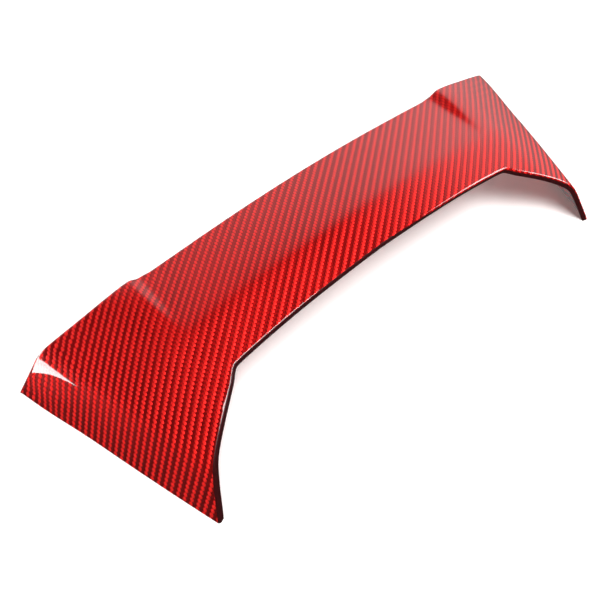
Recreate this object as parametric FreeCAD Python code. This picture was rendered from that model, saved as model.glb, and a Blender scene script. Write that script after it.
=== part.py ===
import FreeCAD
import Part
import math
import os
from FreeCAD import Vector

# Racing rear wing: a thin moulded carbon shell with two raised end pads, turned-down end flanges
# and a rolled front lip.  It is bonded and bolted on from below, so its fixings sit on the underside.
# Millimetres.  X runs along the span, -Y is the front edge, +Z is up, Z = 0 is the plane that the
# flanges stand on.  The shell is symmetric about X = 0.

# ---- driving dimensions ----------------------------------------------------------------------
WALL = 1.8                 # laminate thickness
MID_Y = 68.2               # moves the middle of the depth onto Y = 0
CROWN_Z = 67.7             # top of the back edge at mid-span
BOW_REACH = 100.0          # distance from mid-span at which the two bow figures below are given
SPAN_BOW = 4.36            # drop of the top there
CHORD_SLOPE = 0.073        # fall of the top towards the front
CREASE_SLOPE = 0.177       # slope change at the lengthwise crease, at mid-span
CREASE_FADE = 0.025        # how much of that slope change is lost there
CREASE_Y = -60.0           # crease line, measured from the back edge
CREASE_SOFT = 5.0          # rounding of the crease
STEP_X = 148.5             # joggle that raises the end pads at the back edge
STEP_HEIGHT = 6.0
STEP_SOFT = 1.75           # rounding of the joggle
STEP_REACH = 66.6          # the joggle dies out this far from the back edge
STEP_SLANT = 0.06          # the joggle runs inboard towards the front
PAD_X = 164.0              # the pads slope down outboard of this line
PAD_SLOPE = 0.18
PAD_TWIST = 0.00044        # the pads slope more towards the front
PAD_SLANT = 0.04           # the start of that slope runs inboard towards the front
PAD_SOFT = 10.6
FLANGE_SLOPE = 1.41        # fall per millimetre outward: the flanges lean out 35 degrees
FLANGE_SOFT = 4.8
FOLD_BACK = (227.2, 6.9)   # the line that the end flange turns down on
FOLD_FRONT = (182.4, -132.6)
LIP_RADIUS = 2.0           # rolled front lip
LIP_ANGLE = math.radians(84)
LIP_LEG = 2.8              # straight end of the lip, after its turn
LIP_STEPS = 5              # rows of control points round the turn

# Plan of one half: along-span fraction, then the back edge point and the front edge point
SECTIONS = (
    (0.00, (0.0, 0.0), (0.0, -88.2)),            # mid-span
    (0.30, (81.0, 0.0), (71.8, -89.4)),
    (0.50, (135.0, 0.7), (117.1, -91.1)),        # front inner corner starts
    (0.56, (143.5, 1.8), (132.3, -92.2)),        # foot of the joggle
    (0.60, (153.9, 1.1), (142.3, -100.1)),       # top of the joggle
    (0.86, FOLD_BACK, FOLD_FRONT),
    (1.00, (255.5, 14.8), (195.5, -149.7)),      # flange foot, on the standing plane
    (1.03, (261.2, 16.3), (198.1, -153.1)),      # the flange carried on below the standing plane
)
# Columns of the shell's net, as shares of the way from mid-span to the foot
SPAN_SHARES = (
    [0.03 * i for i in range(0, 15)]
    + [0.44 + 0.01 * i for i in range(0, 30)]
    + [0.74 + 0.02 * i for i in range(0, 4)]
    + [0.815 + 0.0075 * i for i in range(0, 18)]
    + [0.96, 0.98, 1.0]
)
CHORD_FRACTIONS = [0.06 * i for i in range(0, 7)] + [0.42 + 0.0264 * i for i in range(0, 23)]

FOOT_SEARCH = (0.90, 1.03) # span fractions between which every row of the net meets the standing plane
FOOT_STEPS = 40
DIFF_PLAN = 0.05           # step for measuring slopes in plan
DIFF_SPAN = 0.002          # step along the front edge, as a span fraction

# ---- fixings under the shell -----------------------------------------------------------------
GLUE_GAP = 0.1             # keeps touching faces of neighbouring pieces just clear of each other
TAPE_THICK = 1.1
LINER_THICK = 0.2
PULL_TAB = 0.025           # span fraction that a liner reaches past its tape
STRIP_COLUMNS = 16
STRIP_ROWS = 10
BACK_CHORDS = (0.05, 0.18)
FRONT_CHORDS = (0.80, 0.93)
INNER_SPANS = (0.335, 0.47)
CENTRE_SPANS = (-0.13, 0.13)
PAD_SPANS = (0.66, 0.80)
PAD_CHORDS = (0.05, 0.14)
END_SPANS = (0.912, 0.945)
END_CHORDS = (0.12, 0.84)


def mirrored(spans):
    return (-spans[1], -spans[0])


# Name, span range and chord range of each strip; left is -X
TAPES = (
    ("back_left", mirrored(INNER_SPANS), BACK_CHORDS),
    ("back_centre", CENTRE_SPANS, BACK_CHORDS),
    ("back_right", INNER_SPANS, BACK_CHORDS),
    ("front_left", mirrored(INNER_SPANS), FRONT_CHORDS),
    ("front_centre", CENTRE_SPANS, FRONT_CHORDS),
    ("front_right", INNER_SPANS, FRONT_CHORDS),
    ("pad_left", mirrored(PAD_SPANS), PAD_CHORDS),
    ("pad_right", PAD_SPANS, PAD_CHORDS),
    ("end_left", mirrored(END_SPANS), END_CHORDS),
    ("end_right", END_SPANS, END_CHORDS),
)
INSERT_X = 62.0            # inserts on a 124 x 46 rectangle
INSERT_BACK_Y = -22.0
INSERT_FRONT_Y = -68.0
DISC_Z = 57.0              # underside of the insert discs
DISC_RADIUS = 15.0
DISC_THICK = 1.5
DISC_HOLES = 8
DISC_HOLE_RADIUS = 1.6
DISC_HOLE_RING = 11.0
COLLAR_RADIUS = 5.5
COLLAR_LENGTH = 11.0
THREAD_RADIUS = 2.5        # M6 tapping size, thread left out
ADHESIVE_RADIUS = 16.5
ADHESIVE_SPANS = (0.12, 0.36)
TRIM_HEIGHT = 40.0         # the shell's underside and all above it, taken off the adhesive
GASKET_RADIUS = 13.0
GASKET_THICK = 6.0
GASKET_PLAY = 0.3


# ---- the outer surface -----------------------------------------------------------------------
def pchip(knots, values, at):
    """Monotone cubic through the values, so the plan has no overshoot between sections."""
    steps = [b - a for a, b in zip(knots, knots[1:])]
    rises = [(b - a) / h for a, b, h in zip(values, values[1:], steps)]
    slopes = [rises[0]]
    for i in range(1, len(rises)):
        if rises[i - 1] * rises[i] <= 0:
            slopes.append(0.0)
            continue
        w1 = 2 * steps[i] + steps[i - 1]
        w2 = steps[i] + 2 * steps[i - 1]
        slopes.append((w1 + w2) / (w1 / rises[i - 1] + w2 / rises[i]))
    slopes.append(rises[-1])
    i = max(k for k in range(len(steps)) if knots[k] <= at or k == 0)
    h = steps[i]
    u = (at - knots[i]) / h
    return (
        values[i] * (1 + 2 * u) * (1 - u) ** 2
        + slopes[i] * h * u * (1 - u) ** 2
        + values[i + 1] * u * u * (3 - 2 * u)
        + slopes[i + 1] * h * u * u * (u - 1)
    )


def soft_ramp(x, softness):
    """Zero below 0 and x above it, rounded over the softness."""
    return 0.5 * (x + math.sqrt(x * x + softness * softness))


def smooth_step(x):
    x = min(max(x, 0.0), 1.0)
    return x * x * (3 - 2 * x)


def height(x, y):
    """Height of the outer surface over a plan point, y measured from the back edge."""
    x = abs(x)
    bow = (x / BOW_REACH) ** 2
    crease = math.hypot(y - CREASE_Y, CREASE_SOFT) - math.hypot(CREASE_Y, CREASE_SOFT)
    z = CROWN_Z - SPAN_BOW * bow + CHORD_SLOPE * y - (CREASE_SLOPE - CREASE_FADE * bow) * crease
    fade = smooth_step((y + STEP_REACH) / STEP_REACH)
    z += STEP_HEIGHT * fade / (1 + math.exp(-(x - STEP_X - STEP_SLANT * y) / STEP_SOFT))
    pad_x = PAD_X + PAD_SLANT * y
    run = soft_ramp(x - pad_x, PAD_SOFT) - soft_ramp(-pad_x, PAD_SOFT)
    z -= (PAD_SLOPE - PAD_TWIST * y) * run
    along = Vector(FOLD_BACK[0] - FOLD_FRONT[0], FOLD_BACK[1] - FOLD_FRONT[1], 0).normalize()
    outboard = (x - FOLD_FRONT[0]) * along.y - (y - FOLD_FRONT[1]) * along.x
    return z - FLANGE_SLOPE * soft_ramp(outboard, FLANGE_SOFT)


def plan(span, chord):
    """Plan point at a signed span fraction and a chord fraction, 0 at the back edge."""
    knots = [row[0] for row in SECTIONS]
    back = [pchip(knots, [row[1][k] for row in SECTIONS], abs(span)) for k in (0, 1)]
    front = [pchip(knots, [row[2][k] for row in SECTIONS], abs(span)) for k in (0, 1)]
    x = back[0] + chord * (front[0] - back[0])
    y = back[1] + chord * (front[1] - back[1])
    return math.copysign(x, span), y


def surface_point(span, chord):
    x, y = plan(span, chord)
    return Vector(x, y, height(x, y))


def surface_normal(point):
    d = DIFF_PLAN
    slope_x = (height(point.x + d, point.y) - height(point.x - d, point.y)) / (2 * d)
    slope_y = (height(point.x, point.y + d) - height(point.x, point.y - d)) / (2 * d)
    return Vector(-slope_x, -slope_y, 1).normalize()


def net_rows(chords):
    """Rows of the shell's net: chord fraction, turn of the front lip, leg after the turn."""
    rows = [(chord, 0.0, 0.0) for chord in chords]
    rows += [(1.0, LIP_ANGLE * k / LIP_STEPS, 0.0) for k in range(1, LIP_STEPS + 1)]
    return rows + [(1.0, LIP_ANGLE, LIP_LEG / 2), (1.0, LIP_ANGLE, LIP_LEG)]


def net_point(span, row, depth):
    """Point of one net row, the given depth below the outer face."""
    chord, angle, leg = row
    point = surface_point(span, chord)
    normal = surface_normal(point)
    if not angle:
        return point - normal * depth
    before = surface_point(span - DIFF_SPAN, chord)
    after = surface_point(span + DIFF_SPAN, chord)
    forward = (after - before).cross(normal).normalize()
    outward = forward * math.sin(angle) + normal * math.cos(angle)
    downward = forward * math.cos(angle) - normal * math.sin(angle)
    centre = point - normal * LIP_RADIUS
    return centre + outward * (LIP_RADIUS - depth) + downward * leg


def foot_span(row, depth):
    """Span fraction at which a net row meets the standing plane."""
    low, high = FOOT_SEARCH
    for _ in range(FOOT_STEPS):
        middle = (low + high) / 2
        if net_point(middle, row, depth).z > 0:
            low = middle
        else:
            high = middle
    return low


def shell_net(depth):
    """Columns of control points from one flange foot to the other, both feet on the standing plane."""
    rows = net_rows(CHORD_FRACTIONS)
    feet = [foot_span(row, depth) for row in rows]
    shares = [-s for s in SPAN_SHARES[:0:-1]] + SPAN_SHARES
    return [[net_point(share * foot, row, depth) for row, foot in zip(rows, feet)] for share in shares]


def patch_net(spans, chords, depth):
    """Columns of control points for a strip or block under the shell."""
    return [[net_point(span, (chord, 0.0, 0.0), depth) for chord in chords] for span in spans]


# ---- solids ----------------------------------------------------------------------------------
def spline_surface(rows):
    """Cubic surface on a net of control points, clamped at its edges."""
    def clamped(count):
        inner = count - 3
        return [4] + [1] * (inner - 1) + [4], list(range(inner + 1))

    u_mults, u_knots = clamped(len(rows))
    v_mults, v_knots = clamped(len(rows[0]))
    surface = Part.BSplineSurface()
    surface.buildFromPolesMultsKnots(rows, u_mults, v_mults, u_knots, v_knots, False, False, 3, 3)
    return surface


def iso_edges(surface):
    u0, u1, v0, v1 = surface.bounds()
    return [surface.uIso(u0).toShape(), surface.uIso(u1).toShape(),
            surface.vIso(v0).toShape(), surface.vIso(v1).toShape()]


def flat_face(edge, other):
    """Plane face between two edges of one plane."""
    links = [Part.makeLine(a.Point, b.Point) for a, b in zip(edge.Vertexes, other.Vertexes)]
    return Part.Face(Part.Wire([edge, links[0], other, links[1]]))


def solid_between(upper, lower, flat_ends=False):
    """Closed solid between two nets of control points, whose first and last columns may be flat."""
    top = spline_surface(upper)
    bottom = spline_surface(lower)
    faces = [top.toShape(), bottom.toShape()]
    pairs = list(zip(iso_edges(top), iso_edges(bottom)))
    faces += [flat_face(a, b) if flat_ends else Part.makeRuledSurface(a, b) for a, b in pairs[:2]]
    faces += [Part.makeRuledSurface(a, b) for a, b in pairs[2:]]
    shell = Part.makeShell(faces)
    shell.sewShape()
    solid = Part.makeSolid(shell)
    if solid.Volume < 0:
        solid.reverse()
    return solid


def layer(spans, chords, top_depth, bottom_depth):
    """Closed solid between two depths below the outer face."""
    return solid_between(patch_net(spans, chords, top_depth), patch_net(spans, chords, bottom_depth))


def spaced(first, last, count):
    return [first + (last - first) * k / (count - 1) for k in range(count)]


def save(name, shape):
    shape.translate(Vector(0, MID_Y, 0))
    if not shape.isValid():
        raise ValueError(name + " is not a valid solid")
    shape.exportStep("parts/" + name + ".step")
    box = shape.optimalBoundingBox()
    print("%-22s %7.1f cm3  x %.1f..%.1f  y %.1f..%.1f  z %.2f..%.2f" % (
        name, shape.Volume / 1000, box.XMin, box.XMax, box.YMin, box.YMax, box.ZMin, box.ZMax))


def wing_skin():
    return solid_between(shell_net(0.0), shell_net(WALL), flat_ends=True)


def tape_and_liner(span_from, span_to, chord_from, chord_to):
    """Foam tape strip under the shell, and its release liner with a pull tab past the outboard end."""
    chords = spaced(chord_from, chord_to, STRIP_ROWS)
    tape_top = WALL + GLUE_GAP
    tape_bottom = tape_top + TAPE_THICK
    tape = layer(spaced(span_from, span_to, STRIP_COLUMNS), chords, tape_top, tape_bottom)
    tab = PULL_TAB if span_to > 0 else -PULL_TAB
    liner_spans = (span_from, span_to + tab) if span_to > 0 else (span_from + tab, span_to)
    liner_top = tape_bottom + GLUE_GAP
    liner = layer(spaced(*liner_spans, STRIP_COLUMNS), chords, liner_top, liner_top + LINER_THICK)
    return tape, liner


def upright_cylinder(radius, length, x, y, bottom):
    return Part.makeCylinder(radius, length, Vector(x, y, bottom))


def insert(x, y):
    """Bonded fixing: a perforated steel disc with a threaded collar below it."""
    disc = upright_cylinder(DISC_RADIUS, DISC_THICK, x, y, DISC_Z)
    for k in range(DISC_HOLES):
        angle = 2 * math.pi * k / DISC_HOLES
        hole_x = x + DISC_HOLE_RING * math.cos(angle)
        hole_y = y + DISC_HOLE_RING * math.sin(angle)
        disc = disc.cut(upright_cylinder(DISC_HOLE_RADIUS, DISC_THICK, hole_x, hole_y, DISC_Z))
    collar = upright_cylinder(COLLAR_RADIUS, COLLAR_LENGTH, x, y, DISC_Z - COLLAR_LENGTH)
    thread = upright_cylinder(THREAD_RADIUS, COLLAR_LENGTH + DISC_THICK, x, y, DISC_Z - COLLAR_LENGTH)
    return disc.fuse(collar).cut(thread).removeSplitter()


def adhesive(x, y):
    """Structural adhesive that fills the wedge between an insert's disc and the shell."""
    base = DISC_Z + DISC_THICK + GLUE_GAP
    block = upright_cylinder(ADHESIVE_RADIUS, CROWN_Z - base, x, y, base)
    side = math.copysign(1.0, x)
    spans = spaced(side * ADHESIVE_SPANS[0], side * ADHESIVE_SPANS[1], STRIP_COLUMNS)
    above = layer(spans, spaced(0.0, 1.0, STRIP_COLUMNS), -TRIM_HEIGHT, WALL + GLUE_GAP)
    return block.cut(above)


def gasket(x, y):
    """Foam washer that seals the bolt hole in the bodywork."""
    top = DISC_Z - GLUE_GAP
    ring = upright_cylinder(GASKET_RADIUS, GASKET_THICK, x, y, top - GASKET_THICK)
    return ring.cut(upright_cylinder(COLLAR_RADIUS + GASKET_PLAY, GASKET_THICK, x, y, top - GASKET_THICK))


def main():
    save("wing_skin", wing_skin())
    for name, spans, chords in TAPES:
        tape, liner = tape_and_liner(*spans, *chords)
        save("tape_" + name, tape)
        save("liner_" + name, liner)
    for row, y in (("back", INSERT_BACK_Y), ("front", INSERT_FRONT_Y)):
        for side, x in (("left", -INSERT_X), ("right", INSERT_X)):
            name = row + "_" + side
            save("insert_" + name, insert(x, y))
            save("adhesive_" + name, adhesive(x, y))
            save("gasket_" + name, gasket(x, y))


os.makedirs("parts", exist_ok=True)
main()
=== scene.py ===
import math

import bpy
import numpy as np
from mathutils import Matrix, Vector


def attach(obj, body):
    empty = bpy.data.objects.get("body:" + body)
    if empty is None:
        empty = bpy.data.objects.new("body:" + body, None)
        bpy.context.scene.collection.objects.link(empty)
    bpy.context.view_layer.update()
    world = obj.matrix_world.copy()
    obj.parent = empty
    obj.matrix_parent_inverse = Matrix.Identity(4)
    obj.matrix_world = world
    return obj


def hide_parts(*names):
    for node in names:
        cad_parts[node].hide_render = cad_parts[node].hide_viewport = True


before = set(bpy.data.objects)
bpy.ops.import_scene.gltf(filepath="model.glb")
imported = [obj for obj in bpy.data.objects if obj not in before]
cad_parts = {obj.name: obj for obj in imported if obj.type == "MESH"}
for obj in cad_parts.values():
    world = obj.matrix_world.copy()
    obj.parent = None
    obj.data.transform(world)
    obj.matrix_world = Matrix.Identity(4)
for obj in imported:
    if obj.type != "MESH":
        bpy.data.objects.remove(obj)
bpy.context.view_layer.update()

# Racing rear wing: a thin moulded shell of red carbon cloth under clear gloss, with its fixings below.
# Metres.  X runs along the span, -Y is the front edge, Z = 0 is what the wing stands on.

# ---- shape of the shell, y measured from the back edge --------------------------------------
WALL = 0.0018
MID_Y = 0.0682             # moves the middle of the depth onto Y = 0
CROWN_Z = 0.0677
BOW_REACH = 0.1            # the two bow figures hold at this distance from mid-span
SPAN_BOW = 0.00436
CHORD_SLOPE = 0.073
CREASE_SLOPE = 0.177
CREASE_FADE = 0.025
CREASE_Y = -0.060
CREASE_SOFT = 0.005
STEP_X = 0.1485
STEP_HEIGHT = 0.006
STEP_SOFT = 0.00175
STEP_REACH = 0.0666
STEP_SLANT = 0.06
PAD_X = 0.164
PAD_SLOPE = 0.18
PAD_TWIST = 0.44
PAD_SLANT = 0.04
PAD_SOFT = 0.0106
FLANGE_SLOPE = 1.41
FLANGE_SOFT = 0.0048
FOLD_BACK = (0.2272, 0.0069)
FOLD_FRONT = (0.1824, -0.1326)
LIP_RADIUS = 0.002
LIP_ANGLE = math.radians(84)
LIP_LEG = 0.0028
SECTIONS = (
    (0.00, (0.0, 0.0), (0.0, -0.0882)),
    (0.30, (0.081, 0.0), (0.0718, -0.0894)),
    (0.50, (0.135, 0.0007), (0.1171, -0.0911)),
    (0.56, (0.1435, 0.0018), (0.1323, -0.0922)),
    (0.60, (0.1539, 0.0011), (0.1423, -0.1001)),
    (0.86, FOLD_BACK, FOLD_FRONT),
    (1.00, (0.2555, 0.0148), (0.1955, -0.1497)),
    (1.03, (0.2612, 0.0163), (0.1981, -0.1531)),
)
FOLD_RUN = np.array(FOLD_BACK) - np.array(FOLD_FRONT)
FOLD_RUN = FOLD_RUN / np.hypot(*FOLD_RUN)

# ---- mesh of the shell ----------------------------------------------------------------------
HALF_COLUMNS = 190
OUTER_ROWS = 76
INNER_ROWS = 48
LIP_ROWS = 8
EDGE_ROUND = 0.0003        # rounding of the cut edges
EDGE_STEPS = 4
EDGE_CHORD = 0.003         # row close to the cut edge that keeps its rounding crisp
OUTER_FACE, INNER_FACE, EDGE_AND_LIP_SHADE_FACE = range(3)       # material slots of the shell
LIP_SHADE_SPAN = (0.0, 0.06)    # between these x the start of the dark edge colour on the outer roll of the lip, painted shade, moves down the lip ... ... from the first of these turns to the second
LIP_SHADE_TURNS = (math.radians(12), math.radians(66))  # ... from the first of these turns to the second
FOOT_SHARES = (0.0024, 0.0012, 0.0)                # last columns before the foot ...
FOOT_WEAR = (0.00004, 0.00014, 0.00045)            # ... and how far the outer face is rounded off there
DENSE_SPANS = ((0.575, 0.05, 2.0), (0.86, 0.06, 4.0))   # where the columns crowd: place, width, gain
SHARE_SAMPLES = 4001
FOOT_SEARCH = (0.90, 1.03) # span fractions between which every ring row meets the standing plane
FOOT_STEPS = 40
SPAN_STEP = 0.002          # step along the span, as a span fraction

# ---- cloth ------------------------------------------------------------------------------------
TOW = 0.002                # width of one tow
CLOTH_TURN = ((1.015, -0.079), (0.031, 1.137))   # how the cloth lies on the mould
FLANGE_DRAPE = (0.02, -0.754)                    # how it shears where it turns down the flange
ARC_SAMPLES = 32
STRETCH_CAP = 0.2                                # steepest squared slope that the cloth follows
TURN_REACH = (-0.06, 0.08)                       # plan distances over which the flange takes up cloth
TURN_SAMPLES = 2801
DIFF = 0.0002                                    # step for measuring slopes in plan
TOW_CROWN = -2.6                                 # fall of a tow towards its sides
WARP_ON_TOP = (-0.42, -0.14)                     # lead of the warp over which it covers the weft
GAP_SHADE_LIFT = (-0.22, 0.34)                         # heights over which the painted shade in the low places between and under the tows fades
GAP_SHADE_SHARE = 0.16                                 # least share of the tow colour in that painted shade
TOW_BUMP = 0.00025
GLOSS_PEEL = 0.00002                             # waviness of the clear coat, outside and inside
INNER_PEEL = 0.0001
GLOSS_ROUGHNESS = 0.02
INNER_ROUGHNESS = 0.10
COAT_IOR = 1.5
# warp and weft are the same red tow: the warp floats are painted lit and the weft floats painted in
# shade, for the sheen the fibres catch along one direction only
LIT_WARP_RED = (0.95, 0.026, 0.022, 1)
STRAND_RED = (0.78, 0.014, 0.012, 1)
SHADED_WEFT_REDS = ((0.19, 0.002, 0.002, 1), (0.29, 0.0035, 0.0035, 1))
# painted sheen on the shaded weft towards the far end and the back
SHEEN_WEFT_RED = (0.28, 0.004, 0.004, 1)
SHEEN_RANGE = (0.01, 0.19)                       # x plus twice y, with some noise, in metres; over it the shaded weft is lightened towards the far end and the back, a painted sheen
# colour of the painted shade in the low places between and under the tows
GAP_SHADE_RED = (0.035, 0.0004, 0.0004, 1)
PLIES = 6                                        # layers that show in the cut edge

# ---- studio: turns are from +Y towards +X and rises from the floor, in degrees -----------------
STUDIO_LEVEL = 0.05
SWEEP_LEVEL = 1.3
SWEEP_LEFT = (-38, -4, 0, 1)
SWEEP_RIGHT = (74, 104, 1, 0)
SWEEP_TOP = (28, 66, 1, 0)
SWEEP_BOTTOM = (-20, 24, 0.2, 1)
SOFTBOXES = (                # name, turn, rise, distance, width, depth, power, lights matt surfaces
    ("key", -168, 70, 2.2, 1.3, 1.0, 67, True),
    ("lip_box", 113, 30, 1.6, 0.7, 0.6, 21, False),
)
CARD_PLAN = ((-0.43, 0.076), (-0.298, 0.098), (-0.298, 0.5), (-1.2, 0.5), (-1.2, 0.41))
CARD_LEVEL = 11
CARD_LIFT = 0.0005
FLOOR_REACH = 3.0
FLOOR_DROP = -0.0002
# the floor's glow is painted light: fill that keeps it white in soft shadow, tinted pink as painted
# bounce light from the red shell
FLOOR_GLOW = (1, 0.85, 0.83, 1)
FLOOR_LEVEL = 0.14
AIM = (0, 0, 0.04)          # where the softboxes point
WALL_REACH = 2.9            # pale wall round the studio, seen past the far edge of the floor
WALL_RISE = 3.0
WALL_SIDES = 64
WALL_LEVEL = 0.82

# ---- camera -----------------------------------------------------------------------------------
CAMERA_AT = (-0.2093, -0.1804, 0.4023)
CAMERA_TURN = math.radians(40.07)
CAMERA_DOWN = math.radians(57.96)
LENS = 36.0
SENSOR = 36.0


def soft_ramp(x, softness):
    return 0.5 * (x + np.sqrt(x * x + softness * softness))


def smooth_step(x):
    x = np.clip(x, 0.0, 1.0)
    return x * x * (3 - 2 * x)


def outboard(x, y):
    """Plan distance outside the fold line of the flange, on the side that x is on."""
    return (np.abs(x) - FOLD_FRONT[0]) * FOLD_RUN[1] - (y - FOLD_FRONT[1]) * FOLD_RUN[0]


def deck_height(x, y):
    """Outer face without the turned-down flanges."""
    x = np.abs(x)
    bow = (x / BOW_REACH) ** 2
    crease = np.hypot(y - CREASE_Y, CREASE_SOFT) - math.hypot(CREASE_Y, CREASE_SOFT)
    z = CROWN_Z - SPAN_BOW * bow + CHORD_SLOPE * y - (CREASE_SLOPE - CREASE_FADE * bow) * crease
    fade = smooth_step((y + STEP_REACH) / STEP_REACH)
    z = z + STEP_HEIGHT * fade / (1 + np.exp(-(x - STEP_X - STEP_SLANT * y) / STEP_SOFT))
    pad_x = PAD_X + PAD_SLANT * y
    run = soft_ramp(x - pad_x, PAD_SOFT) - soft_ramp(-pad_x, PAD_SOFT)
    return z - (PAD_SLOPE - PAD_TWIST * y) * run


def height(x, y):
    return deck_height(x, y) - FLANGE_SLOPE * soft_ramp(outboard(x, y), FLANGE_SOFT)


def pchip(knots, values, at):
    """Monotone cubic through the values."""
    knots = np.array(knots)
    values = np.array(values)
    steps = np.diff(knots)
    rises = np.diff(values) / steps
    slopes = np.zeros(len(knots))
    slopes[0] = rises[0]
    slopes[-1] = rises[-1]
    for i in range(1, len(rises)):
        if rises[i - 1] * rises[i] > 0:
            w1 = 2 * steps[i] + steps[i - 1]
            w2 = steps[i] + 2 * steps[i - 1]
            slopes[i] = (w1 + w2) / (w1 / rises[i - 1] + w2 / rises[i])
    i = np.clip(np.searchsorted(knots, at, side="right") - 1, 0, len(steps) - 1)
    h = steps[i]
    u = (at - knots[i]) / h
    return (
        values[i] * (1 + 2 * u) * (1 - u) ** 2
        + slopes[i] * h * u * (1 - u) ** 2
        + values[i + 1] * u * u * (3 - 2 * u)
        + slopes[i + 1] * h * u * u * (u - 1)
    )


def plan(span, chord):
    knots = [row[0] for row in SECTIONS]
    away = np.abs(span)
    back = [pchip(knots, [row[1][k] for row in SECTIONS], away) for k in (0, 1)]
    front = [pchip(knots, [row[2][k] for row in SECTIONS], away) for k in (0, 1)]
    x = back[0] + chord * (front[0] - back[0])
    y = back[1] + chord * (front[1] - back[1])
    return np.where(span < 0, -x, x), y


def surface_point(span, chord):
    x, y = plan(span, chord)
    return np.stack([x, y, height(x, y)], -1)


def unit(v):
    return v / np.linalg.norm(v, axis=-1, keepdims=True)


def surface_normal(p):
    x, y = p[..., 0], p[..., 1]
    slope_x = (height(x + DIFF, y) - height(x - DIFF, y)) / (2 * DIFF)
    slope_y = (height(x, y + DIFF) - height(x, y - DIFF)) / (2 * DIFF)
    return unit(np.stack([-slope_x, -slope_y, np.ones_like(slope_x)], -1))


def flange_extra(q):
    """Extra length of cloth taken up by the turn into the flange, over a plan distance q."""
    grid = np.linspace(*TURN_REACH, TURN_SAMPLES)
    fall = FLANGE_SLOPE * 0.5 * (1 + grid / np.sqrt(grid * grid + FLANGE_SOFT**2))
    rate = np.sqrt(1 + (fall + PAD_SLOPE) ** 2) - math.sqrt(1 + PAD_SLOPE**2)
    return np.interp(q, grid, np.cumsum(rate) * (grid[1] - grid[0]))


def cloth(x, y):
    """Place on the flat cloth of a plan point: distances along the two tow directions."""
    share = (np.arange(ARC_SAMPLES) + 0.5) / ARC_SAMPLES
    xs = x[..., None] * share
    ys = y[..., None] * share
    x_fixed = x[..., None] + 0 * share
    y_fixed = y[..., None] + 0 * share
    slope_x = (deck_height(xs + DIFF, y_fixed) - deck_height(xs - DIFF, y_fixed)) / (2 * DIFF)
    slope_y = (deck_height(x_fixed, ys + DIFF) - deck_height(x_fixed, ys - DIFF)) / (2 * DIFF)
    u = x * np.sqrt(1 + slope_x**2).mean(-1)
    v = y * np.sqrt(1 + np.minimum(slope_y**2, STRETCH_CAP)).mean(-1)
    extra = flange_extra(outboard(x, y))
    return np.stack([
        CLOTH_TURN[0][0] * u + CLOTH_TURN[0][1] * v + FLANGE_DRAPE[0] * np.sign(x) * extra,
        CLOTH_TURN[1][0] * u + CLOTH_TURN[1][1] * v + FLANGE_DRAPE[1] * extra,
    ], -1)


# ---- the ring of points round one chordwise section -----------------------------------------
def ring_rows():
    """One row per point of the ring: chord, depth, lip angle, lip leg, reach past the edge, kind."""
    rows = []
    bend = [math.pi / 2 * k / EDGE_STEPS for k in range(EDGE_STEPS + 1)]
    edge_out = [(-EDGE_ROUND * (1 - math.sin(a)), EDGE_ROUND * (1 - math.cos(a))) for a in bend]
    edge_in = [(reach, WALL - depth) for reach, depth in reversed(edge_out)]
    for reach, depth in reversed(edge_in + [(0.0, WALL / 2)] + edge_out[::-1]):
        rows.append((0.0, depth, 0.0, 0.0, reach, "back"))
    rows.append((EDGE_CHORD, 0.0, 0.0, 0.0, 0.0, "outer"))
    for k in range(1, OUTER_ROWS + 1):
        rows.append((k / OUTER_ROWS, 0.0, 0.0, 0.0, 0.0, "outer"))
    for k in range(1, LIP_ROWS + 1):
        rows.append((1.0, 0.0, LIP_ANGLE * k / LIP_ROWS, 0.0, 0.0, "lip"))
    for reach, depth in edge_out + [(0.0, WALL / 2)] + edge_in:
        rows.append((1.0, depth, LIP_ANGLE, LIP_LEG, reach, "lip"))
    for k in range(LIP_ROWS, 0, -1):
        rows.append((1.0, WALL, LIP_ANGLE * k / LIP_ROWS, 0.0, 0.0, "lip"))
    for k in range(INNER_ROWS, 0, -1):
        rows.append((k / INNER_ROWS, WALL, 0.0, 0.0, 0.0, "inner"))
    rows.append((EDGE_CHORD, WALL, 0.0, 0.0, 0.0, "inner"))
    return rows


def ring_points(span, row):
    """Points of one ring row over an array of span fractions, with their cloth coordinates."""
    chord, depth, angle, leg, reach, kind = row
    point = surface_point(span, chord)
    normal = surface_normal(point)
    flat = cloth(point[..., 0], point[..., 1])
    if kind in ("outer", "inner"):
        return point - normal * depth, flat
    along = unit(surface_point(span + SPAN_STEP, chord) - surface_point(span - SPAN_STEP, chord))
    forward = unit(np.cross(along, normal))
    if kind == "back":
        forward = -forward
    ahead = point + forward * DIFF
    direction = unit(cloth(ahead[..., 0], ahead[..., 1]) - flat)
    outward = forward * math.sin(angle) + normal * math.cos(angle)
    onward = forward * math.cos(angle) - normal * math.sin(angle)
    centre = point - normal * LIP_RADIUS
    length = leg + reach
    place = centre + outward * (LIP_RADIUS - depth) + onward * length
    return place, flat + direction * (LIP_RADIUS * angle + length + 0.5 * depth)


def foot_span(row):
    """Span fraction at which a ring row meets the standing plane."""
    low = np.array(FOOT_SEARCH[:1])
    high = np.array(FOOT_SEARCH[1:])
    for _ in range(FOOT_STEPS):
        mid = 0.5 * (low + high)
        above = ring_points(mid, row)[0][..., 2] > 0
        low = np.where(above, mid, low)
        high = np.where(above, high, mid)
    return float(low[0])


def column_shares():
    """Shares of the half span, crowded where the shell bends most."""
    fine = np.linspace(0, 1, SHARE_SAMPLES)
    weight = np.ones_like(fine)
    for place, width, gain in DENSE_SPANS:
        weight += gain * np.exp(-(((fine - place) / width) ** 2))
    total = np.concatenate([[0], np.cumsum(0.5 * (weight[1:] + weight[:-1]))])
    half = np.interp(np.linspace(0, 1, HALF_COLUMNS + 1), total / total[-1], fine)
    half = np.concatenate([half[:-1], 1 - np.array(FOOT_SHARES)])
    return np.concatenate([-half[:0:-1], half])


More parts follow.
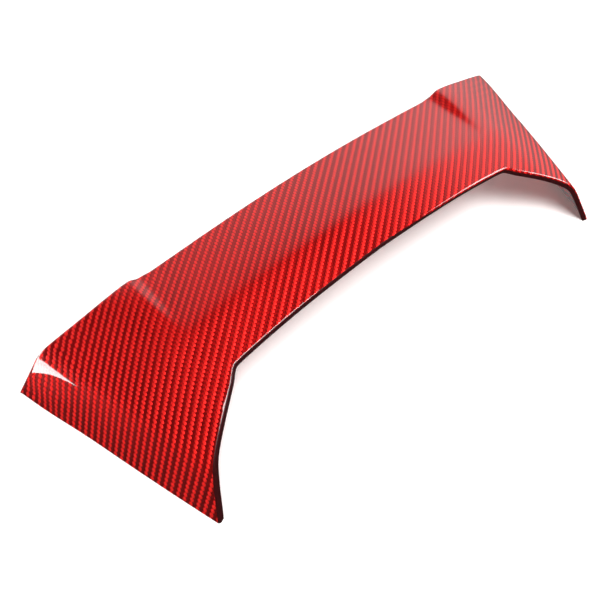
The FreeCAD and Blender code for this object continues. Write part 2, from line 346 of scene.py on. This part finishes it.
def wear_foot(place):
    """Round off the outer face where it meets the floor, at both ends of a ring row."""
    for k, depth in enumerate(FOOT_WEAR):
        for column, inward in ((len(FOOT_WEAR) - 1 - k, 1), (k - len(FOOT_WEAR), -1)):
            place[column, 0] += inward * depth


def build_shell(materials):
    rows = ring_rows()
    shares = column_shares()
    places = []
    flats = []
    for row in rows:
        place, flat = ring_points(shares * foot_span(row), row)
        if row[1] == 0:
            wear_foot(place)
        places.append(place + np.array([0, MID_Y, 0]))
        flats.append(flat)
    places = np.array(places)          # ring row, column, xyz
    flats = np.array(flats)
    count_rows, count_columns = places.shape[:2]
    index = np.arange(count_rows * count_columns).reshape(count_rows, count_columns)
    faces = []
    kinds = []
    for r in range(count_rows):
        nxt = (r + 1) % count_rows
        for c in range(count_columns - 1):
            faces.append((index[r, c], index[nxt, c], index[nxt, c + 1], index[r, c + 1]))
            kinds.append(face_kind(rows[r], rows[nxt], places[r, c, 0]))
    faces.append(tuple(index[:, 0][::-1]))
    faces.append(tuple(index[:, -1]))
    kinds += [EDGE_AND_LIP_SHADE_FACE, EDGE_AND_LIP_SHADE_FACE]
    mesh = bpy.data.meshes.new("wing_shell")
    mesh.from_pydata(places.reshape(-1, 3).tolist(), [], [tuple(map(int, f)) for f in faces])
    for material in materials:
        mesh.materials.append(material)
    mesh.polygons.foreach_set("material_index", kinds)
    mesh.polygons.foreach_set("use_smooth", [True] * (len(faces) - 2) + [False, False])
    uv = mesh.uv_layers.new(name="cloth")
    corner = np.zeros(len(mesh.loops), int)
    mesh.loops.foreach_get("vertex_index", corner)
    uv.data.foreach_set("uv", flats.reshape(-1, 2)[corner].astype(np.float32).ravel())
    depth = mesh.attributes.new("ply_depth", "FLOAT", "POINT")
    levels = np.repeat([row[1] / WALL for row in rows], count_columns)
    depth.data.foreach_set("value", levels.astype(np.float32))
    shell = bpy.data.objects.new("wing_shell", mesh)
    bpy.context.scene.collection.objects.link(shell)
    mesh.validate()
    mesh.update()
    return shell


def face_kind(row, nxt, across):
    """Material slot of the face between two ring rows, at one x."""
    if row[1] == 0 and nxt[1] == 0:
        # on the outer roll of the lip the dark edge colour past the given turn is painted shade, where
        # the lip shows no reflection; it starts higher up the lip on the near half than at the far end
        return EDGE_AND_LIP_SHADE_FACE if nxt[2] > np.interp(across, LIP_SHADE_SPAN, LIP_SHADE_TURNS) else OUTER_FACE
    if row[5] == "back":
        return OUTER_FACE
    if row[1] == WALL and nxt[1] == WALL:
        return INNER_FACE
    return EDGE_AND_LIP_SHADE_FACE


# ---- materials ----------------------------------------------------------------------------------
class Nodes:
    """Short way to write a node tree: every method adds one node and returns its output socket."""

    def __init__(self, name):
        self.material = bpy.data.materials.new(name)
        self.material.use_nodes = True
        self.tree = self.material.node_tree
        self.shader = self.tree.nodes["Principled BSDF"]

    def put(self, socket, value):
        if isinstance(value, bpy.types.NodeSocket):
            self.tree.links.new(value, socket)
        else:
            socket.default_value = value

    def math(self, operation, *values, clamp=False):
        node = self.tree.nodes.new("ShaderNodeMath")
        node.operation = operation
        node.use_clamp = clamp
        for socket, value in zip(node.inputs, values):
            self.put(socket, value)
        return node.outputs[0]

    def mix(self, share, a, b):
        node = self.tree.nodes.new("ShaderNodeMix")
        node.data_type = "RGBA"
        self.put(node.inputs["Factor"], share)
        self.put(node.inputs["A"], a)
        self.put(node.inputs["B"], b)
        return node.outputs["Result"]

    def remap(self, value, low, high, to_low, to_high):
        node = self.tree.nodes.new("ShaderNodeMapRange")
        for socket, v in zip(node.inputs, (value, low, high, to_low, to_high)):
            self.put(socket, v)
        return node.outputs[0]

    def noise(self, vector, scale, detail=2.0, roughness=0.5):
        node = self.tree.nodes.new("ShaderNodeTexNoise")
        node.noise_dimensions = "3D"
        self.put(node.inputs["Vector"], vector)
        node.inputs["Scale"].default_value = scale
        node.inputs["Detail"].default_value = detail
        node.inputs["Roughness"].default_value = roughness
        return node.outputs["Fac"]

    def voronoi(self, vector, scale):
        node = self.tree.nodes.new("ShaderNodeTexVoronoi")
        self.put(node.inputs["Vector"], vector)
        node.inputs["Scale"].default_value = scale
        return node.outputs["Distance"]

    def object_place(self):
        return self.tree.nodes.new("ShaderNodeTexCoord").outputs["Object"]

    def attribute(self, name):
        node = self.tree.nodes.new("ShaderNodeAttribute")
        node.attribute_name = name
        return node.outputs["Fac"]

    def bump(self, height_value, distance):
        node = self.tree.nodes.new("ShaderNodeBump")
        node.inputs["Strength"].default_value = 1.0
        node.inputs["Distance"].default_value = distance
        self.put(node.inputs["Height"], height_value)
        return node.outputs[0]

    def set(self, **values):
        for name, value in values.items():
            self.put(self.shader.inputs[name.replace("_", " ")], value)


def twill(nodes):
    """Heights of the warp tows, along v, and the weft tows, along u, of a 2x2 twill."""
    uv = nodes.tree.nodes.new("ShaderNodeUVMap")
    uv.uv_map = "cloth"
    split = nodes.tree.nodes.new("ShaderNodeSeparateXYZ")
    nodes.put(split.inputs[0], uv.outputs[0])
    su = nodes.math("DIVIDE", split.outputs[0], TOW)
    sv = nodes.math("DIVIDE", split.outputs[1], TOW)
    column = nodes.math("FLOOR", su)
    row = nodes.math("FLOOR", sv)
    across_u = nodes.math("SUBTRACT", nodes.math("FRACT", su), 0.5)
    across_v = nodes.math("SUBTRACT", nodes.math("FRACT", sv), 0.5)

    def tow_height(across, along, centre):
        phase = nodes.math("MULTIPLY", nodes.math("SUBTRACT", along, centre), math.pi / 2)
        lift = nodes.math("COSINE", phase)
        crown = nodes.math("MULTIPLY", nodes.math("MULTIPLY", across, across), TOW_CROWN)
        return nodes.math("ADD", lift, crown)

    warp = tow_height(across_u, sv, column)
    weft = tow_height(across_v, su, nodes.math("ADD", row, 3.0))
    return warp, weft


def cloth_material(name, coat_roughness, peel):
    """Red-tinted carbon cloth seen through a clear coat."""
    nodes = Nodes(name)
    warp, weft = twill(nodes)
    lead = nodes.math("SUBTRACT", warp, weft)
    mask = nodes.remap(lead, *WARP_ON_TOP, 0.0, 1.0)
    place = nodes.object_place()
    blotch = nodes.noise(place, 35.0, 3.0)
    fibre = nodes.noise(place, 1100.0, 2.0)
    top = nodes.math("MAXIMUM", warp, weft)
    # painted shade: the cloth darkens where the tows lie low, between neighbours and where one dives
    # under the other
    crown = nodes.remap(top, *GAP_SHADE_LIFT, GAP_SHADE_SHARE, 1.0)
    # painted light: the warp floats get the lit red, with darker strands at random, and the weft floats
    # the shaded reds, varied at random by the blotches
    strand = nodes.remap(fibre, 0.35, 0.7, 0.0, 1.0)
    lit_warp = nodes.mix(strand, STRAND_RED, LIT_WARP_RED)
    shaded_weft = nodes.mix(nodes.remap(blotch, 0.35, 0.7, 0.0, 1.0), *SHADED_WEFT_REDS)
    split = nodes.tree.nodes.new("ShaderNodeSeparateXYZ")
    nodes.put(split.inputs[0], place)
    # painted sheen: the shaded weft grows lighter towards +x and the back, standing in for the soft
    # veil of light over that part of the deck
    sheen_reach = nodes.math("ADD", split.outputs[0], nodes.math("MULTIPLY", split.outputs[1], 2.0))
    sheen_reach = nodes.math("ADD", sheen_reach, nodes.math("MULTIPLY", blotch, 0.16))
    shaded_weft = nodes.mix(nodes.remap(sheen_reach, *SHEEN_RANGE, 0.0, 1.0), shaded_weft, SHEEN_WEFT_RED)
    # painted light: lit warp floats against shaded weft floats
    colour = nodes.mix(mask, shaded_weft, lit_warp)
    colour = nodes.mix(crown, GAP_SHADE_RED, colour)
    tangent = nodes.tree.nodes.new("ShaderNodeTangent")
    tangent.direction_type = "UV_MAP"
    tangent.uv_map = "cloth"
    nodes.shader.inputs["Specular IOR Level"].default_value = 0.0
    nodes.shader.inputs["Anisotropic"].default_value = 0.85
    nodes.set(
        Base_Color=colour,
        Metallic=0.5,
        Roughness=0.5,
        Tangent=tangent.outputs[0],
        Anisotropic_Rotation=nodes.remap(mask, 0.0, 1.0, 0.25, 0.0),
        Normal=nodes.bump(top, TOW_BUMP),
        Coat_Weight=1.0,
        Coat_Roughness=coat_roughness,
        Coat_IOR=COAT_IOR,
        Coat_Normal=nodes.bump(nodes.noise(place, 60.0, 1.0), peel),
    )
    return nodes.material


def edge_and_lip_shade_material():
    """Cut and sealed edge of the laminate, with its plies; the same dark colour is also laid on the
    outer roll of the lip as painted shade.
    """
    nodes = Nodes("laminate_edge_and_lip_shade")
    place = nodes.object_place()
    depth = nodes.attribute("ply_depth")
    plies = nodes.math("SINE", nodes.math("MULTIPLY", depth, 2 * math.pi * PLIES))
    grain = nodes.noise(place, 700.0, 3.0)
    share = nodes.math("ADD", nodes.math("MULTIPLY", plies, 0.25), grain, clamp=True)
    nodes.set(
        Base_Color=nodes.mix(share, (0.016, 0.0008, 0.001, 1), (0.05, 0.002, 0.003, 1)),
        Roughness=0.5,
        Specular_IOR_Level=0.1,
        Normal=nodes.bump(share, 0.00003),
        Coat_Weight=0.25,
        Coat_Roughness=0.2,
    )
    return nodes.material


def foam_tape_material():
    nodes = Nodes("foam_tape")
    place = nodes.object_place()
    cells = nodes.voronoi(place, 2600.0)
    tone = nodes.noise(place, 120.0, 3.0)
    pores = nodes.math("MULTIPLY", cells, 0.6)
    share = nodes.math("ADD", pores, nodes.math("MULTIPLY", tone, 0.5), clamp=True)
    nodes.set(
        Base_Color=nodes.mix(share, (0.018, 0.018, 0.02, 1), (0.075, 0.075, 0.08, 1)),
        Roughness=nodes.remap(tone, 0.3, 0.7, 0.75, 0.95),
        Normal=nodes.bump(cells, 0.00015),
    )
    return nodes.material


def liner_material():
    nodes = Nodes("release_liner")
    place = nodes.object_place()
    wrinkle = nodes.noise(place, 90.0, 4.0, 0.6)
    nodes.set(
        Base_Color=nodes.mix(wrinkle, (0.62, 0.05, 0.04, 1), (0.78, 0.10, 0.07, 1)),
        Roughness=nodes.remap(wrinkle, 0.3, 0.7, 0.28, 0.42),
        Normal=nodes.bump(wrinkle, 0.0004),
    )
    return nodes.material


def zinc_material():
    nodes = Nodes("zinc_steel")
    place = nodes.object_place()
    flake = nodes.voronoi(place, 700.0)
    smear = nodes.noise(place, 220.0, 4.0)
    nodes.set(
        Base_Color=nodes.mix(flake, (0.42, 0.43, 0.45, 1), (0.62, 0.62, 0.60, 1)),
        Metallic=1.0,
        Roughness=nodes.remap(smear, 0.3, 0.7, 0.28, 0.48),
        Normal=nodes.bump(smear, 0.00004),
    )
    return nodes.material


def adhesive_material():
    nodes = Nodes("structural_adhesive")
    place = nodes.object_place()
    lumps = nodes.noise(place, 260.0, 4.0)
    filler = nodes.noise(place, 1800.0, 2.0)
    nodes.set(
        Base_Color=nodes.mix(filler, (0.028, 0.030, 0.034, 1), (0.085, 0.088, 0.095, 1)),
        Roughness=nodes.remap(lumps, 0.3, 0.7, 0.42, 0.62),
        Normal=nodes.bump(lumps, 0.0007),
    )
    return nodes.material


def gasket_material():
    nodes = Nodes("foam_gasket")
    place = nodes.object_place()
    cells = nodes.voronoi(place, 1500.0)
    tone = nodes.noise(place, 300.0, 3.0)
    nodes.set(
        Base_Color=nodes.mix(cells, (0.012, 0.012, 0.013, 1), (0.055, 0.055, 0.058, 1)),
        Roughness=nodes.remap(tone, 0.3, 0.7, 0.8, 0.98),
        Normal=nodes.bump(cells, 0.0003),
    )
    return nodes.material


def dress_cad_nodes():
    """Better materials for the CAD nodes that stay as they are."""
    finishes = {
        "tape_": foam_tape_material(),
        "liner_": liner_material(),
        "insert_": zinc_material(),
        "adhesive_": adhesive_material(),
        "gasket_": gasket_material(),
    }
    for name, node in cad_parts.items():
        for start, material in finishes.items():
            if name.startswith(start):
                node.data.materials.clear()
                node.data.materials.append(material)


# ---- stage --------------------------------------------------------------------------------------
def area_light(name, place, size_x, size_y, power):
    data = bpy.data.lights.new(name, "AREA")
    data.shape = "RECTANGLE"
    data.size = size_x
    data.size_y = size_y
    data.energy = power
    light = bpy.data.objects.new(name, data)
    light.location = place
    light.rotation_euler = (Vector(AIM) - Vector(place)).to_track_quat("-Z", "Y").to_euler()
    bpy.context.scene.collection.objects.link(light)
    return light


def build_floor():
    mesh = bpy.data.meshes.new("floor")
    signs = ((-1, -1), (1, -1), (1, 1), (-1, 1))
    corners = [(FLOOR_REACH * x, FLOOR_REACH * y, FLOOR_DROP) for x, y in signs]
    mesh.from_pydata(corners, [], [(0, 1, 2, 3)])
    nodes = Nodes("floor_paper")
    place = nodes.object_place()
    grain = nodes.noise(place, 400.0, 2.0)
    nodes.set(
        Base_Color=nodes.mix(grain, (0.90, 0.885, 0.87, 1), (0.93, 0.92, 0.91, 1)),
        Roughness=0.9,
    )
    nodes.shader.inputs["Specular IOR Level"].default_value = 0.1
    # painted fill and painted pink bounce light, glowing from the floor itself
    nodes.shader.inputs["Emission Color"].default_value = FLOOR_GLOW
    nodes.shader.inputs["Emission Strength"].default_value = FLOOR_LEVEL
    mesh.materials.append(nodes.material)
    floor = bpy.data.objects.new("floor", mesh)
    bpy.context.scene.collection.objects.link(floor)
    floor.visible_glossy = False


def build_world():
    """Dim studio with one large pale sweep behind and to the right, fading upward."""
    world = bpy.data.worlds.new("studio")
    bpy.context.scene.world = world
    world.use_nodes = True
    tree = world.node_tree

    def put(node, *values):
        for socket, value in zip(node.inputs, values):
            if isinstance(value, bpy.types.NodeSocket):
                tree.links.new(value, socket)
            else:
                socket.default_value = value
        return node.outputs[0]

    def combine(operation, *values):
        node = tree.nodes.new("ShaderNodeMath")
        node.operation = operation
        return put(node, *values)

    def ramp(value, low, high, to_low, to_high):
        node = tree.nodes.new("ShaderNodeMapRange")
        node.interpolation_type = "SMOOTHSTEP"
        return put(node, value, math.radians(low), math.radians(high), to_low, to_high)

    split = tree.nodes.new("ShaderNodeSeparateXYZ")
    put(split, tree.nodes.new("ShaderNodeTexCoord").outputs["Generated"])
    turn = combine("ARCTAN2", split.outputs[0], split.outputs[1])
    rise = combine("ARCSINE", split.outputs[2])
    card = ramp(turn, *SWEEP_LEFT)
    for value, fade in ((turn, SWEEP_RIGHT), (rise, SWEEP_TOP), (rise, SWEEP_BOTTOM)):
        card = combine("MULTIPLY", card, ramp(value, *fade))
    light = combine("ADD", combine("MULTIPLY", card, SWEEP_LEVEL), STUDIO_LEVEL)
    tree.links.new(light, tree.nodes["Background"].inputs["Strength"])
    tree.nodes["Background"].inputs["Color"].default_value = (1, 1, 1, 1)


def build_card():
    """Bright card lying on the floor to the left, mirrored by the near fold."""
    mesh = bpy.data.meshes.new("floor_card")
    corners = [(x, y, CARD_LIFT) for x, y in CARD_PLAN]
    mesh.from_pydata(corners, [], [tuple(range(len(corners)))])
    nodes = Nodes("card_paper")
    grain = nodes.noise(nodes.object_place(), 40.0, 2.0)
    nodes.set(Base_Color=nodes.mix(grain, (0.9, 0.9, 0.9, 1), (0.94, 0.94, 0.94, 1)))
    nodes.shader.inputs["Emission Color"].default_value = (1, 1, 1, 1)
    nodes.shader.inputs["Emission Strength"].default_value = CARD_LEVEL
    mesh.materials.append(nodes.material)
    card = bpy.data.objects.new("floor_card", mesh)
    bpy.context.scene.collection.objects.link(card)
    card.visible_camera = False


def build_wall():
    """Pale wall behind everything, which only shows in views from low down and lights nothing."""
    turns = [2 * math.pi * k / WALL_SIDES for k in range(WALL_SIDES)]
    ring = [(WALL_REACH * math.cos(turn), WALL_REACH * math.sin(turn)) for turn in turns]
    corners = [(x, y, z) for z in (FLOOR_DROP, WALL_RISE) for x, y in ring]
    faces = []
    for k in range(WALL_SIDES):
        nxt = (k + 1) % WALL_SIDES
        faces.append((nxt, k, WALL_SIDES + k, WALL_SIDES + nxt))
    mesh = bpy.data.meshes.new("studio_wall")
    mesh.from_pydata(corners, [], faces)
    nodes = Nodes("wall_paper")
    grain = nodes.noise(nodes.object_place(), 2.0, 2.0)
    nodes.set(
        Base_Color=(0, 0, 0, 1),
        Emission_Color=nodes.mix(grain, (0.97, 0.965, 0.96, 1), (1, 0.995, 0.99, 1)),
        Emission_Strength=WALL_LEVEL,
        Specular_IOR_Level=0.0,
    )
    mesh.materials.append(nodes.material)
    wall = bpy.data.objects.new("studio_wall", mesh)
    bpy.context.scene.collection.objects.link(wall)
    wall.visible_diffuse = False
    wall.visible_glossy = False
    wall.visible_shadow = False


def build_lights():
    for name, turn, rise, distance, width, depth, power, matt in SOFTBOXES:
        turn = math.radians(turn)
        rise = math.radians(rise)
        level = math.cos(rise) * Vector((math.sin(turn), math.cos(turn), 0))
        place = (level + Vector((0, 0, math.sin(rise)))) * distance
        light = area_light(name, place, width, depth, power)
        light.visible_diffuse = matt


def build_camera():
    right = Vector((math.cos(CAMERA_TURN), -math.sin(CAMERA_TURN), 0))
    ahead = Vector((math.sin(CAMERA_TURN), math.cos(CAMERA_TURN), 0))
    view = ahead * math.cos(CAMERA_DOWN) - Vector((0, 0, 1)) * math.sin(CAMERA_DOWN)
    up = ahead * math.sin(CAMERA_DOWN) + Vector((0, 0, 1)) * math.cos(CAMERA_DOWN)
    data = bpy.data.cameras.new("camera")
    data.lens = LENS
    data.sensor_width = SENSOR
    data.clip_start = 0.01
    camera = bpy.data.objects.new("camera", data)
    turn = Matrix((right, up, -view)).transposed().to_4x4()
    camera.matrix_world = Matrix.Translation(CAMERA_AT) @ turn
    bpy.context.scene.collection.objects.link(camera)
    bpy.context.scene.camera = camera


def main():
    materials = [
        cloth_material("cloth_gloss", GLOSS_ROUGHNESS, GLOSS_PEEL),
        cloth_material("cloth_inner", INNER_ROUGHNESS, INNER_PEEL),
        edge_and_lip_shade_material(),
    ]
    shell = build_shell(materials)
    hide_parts("wing_skin")
    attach(shell, "root")
    dress_cad_nodes()
    build_floor()
    build_world()
    build_lights()
    build_card()
    build_wall()
    build_camera()
    bpy.context.scene.view_settings.view_transform = "Standard"


main()
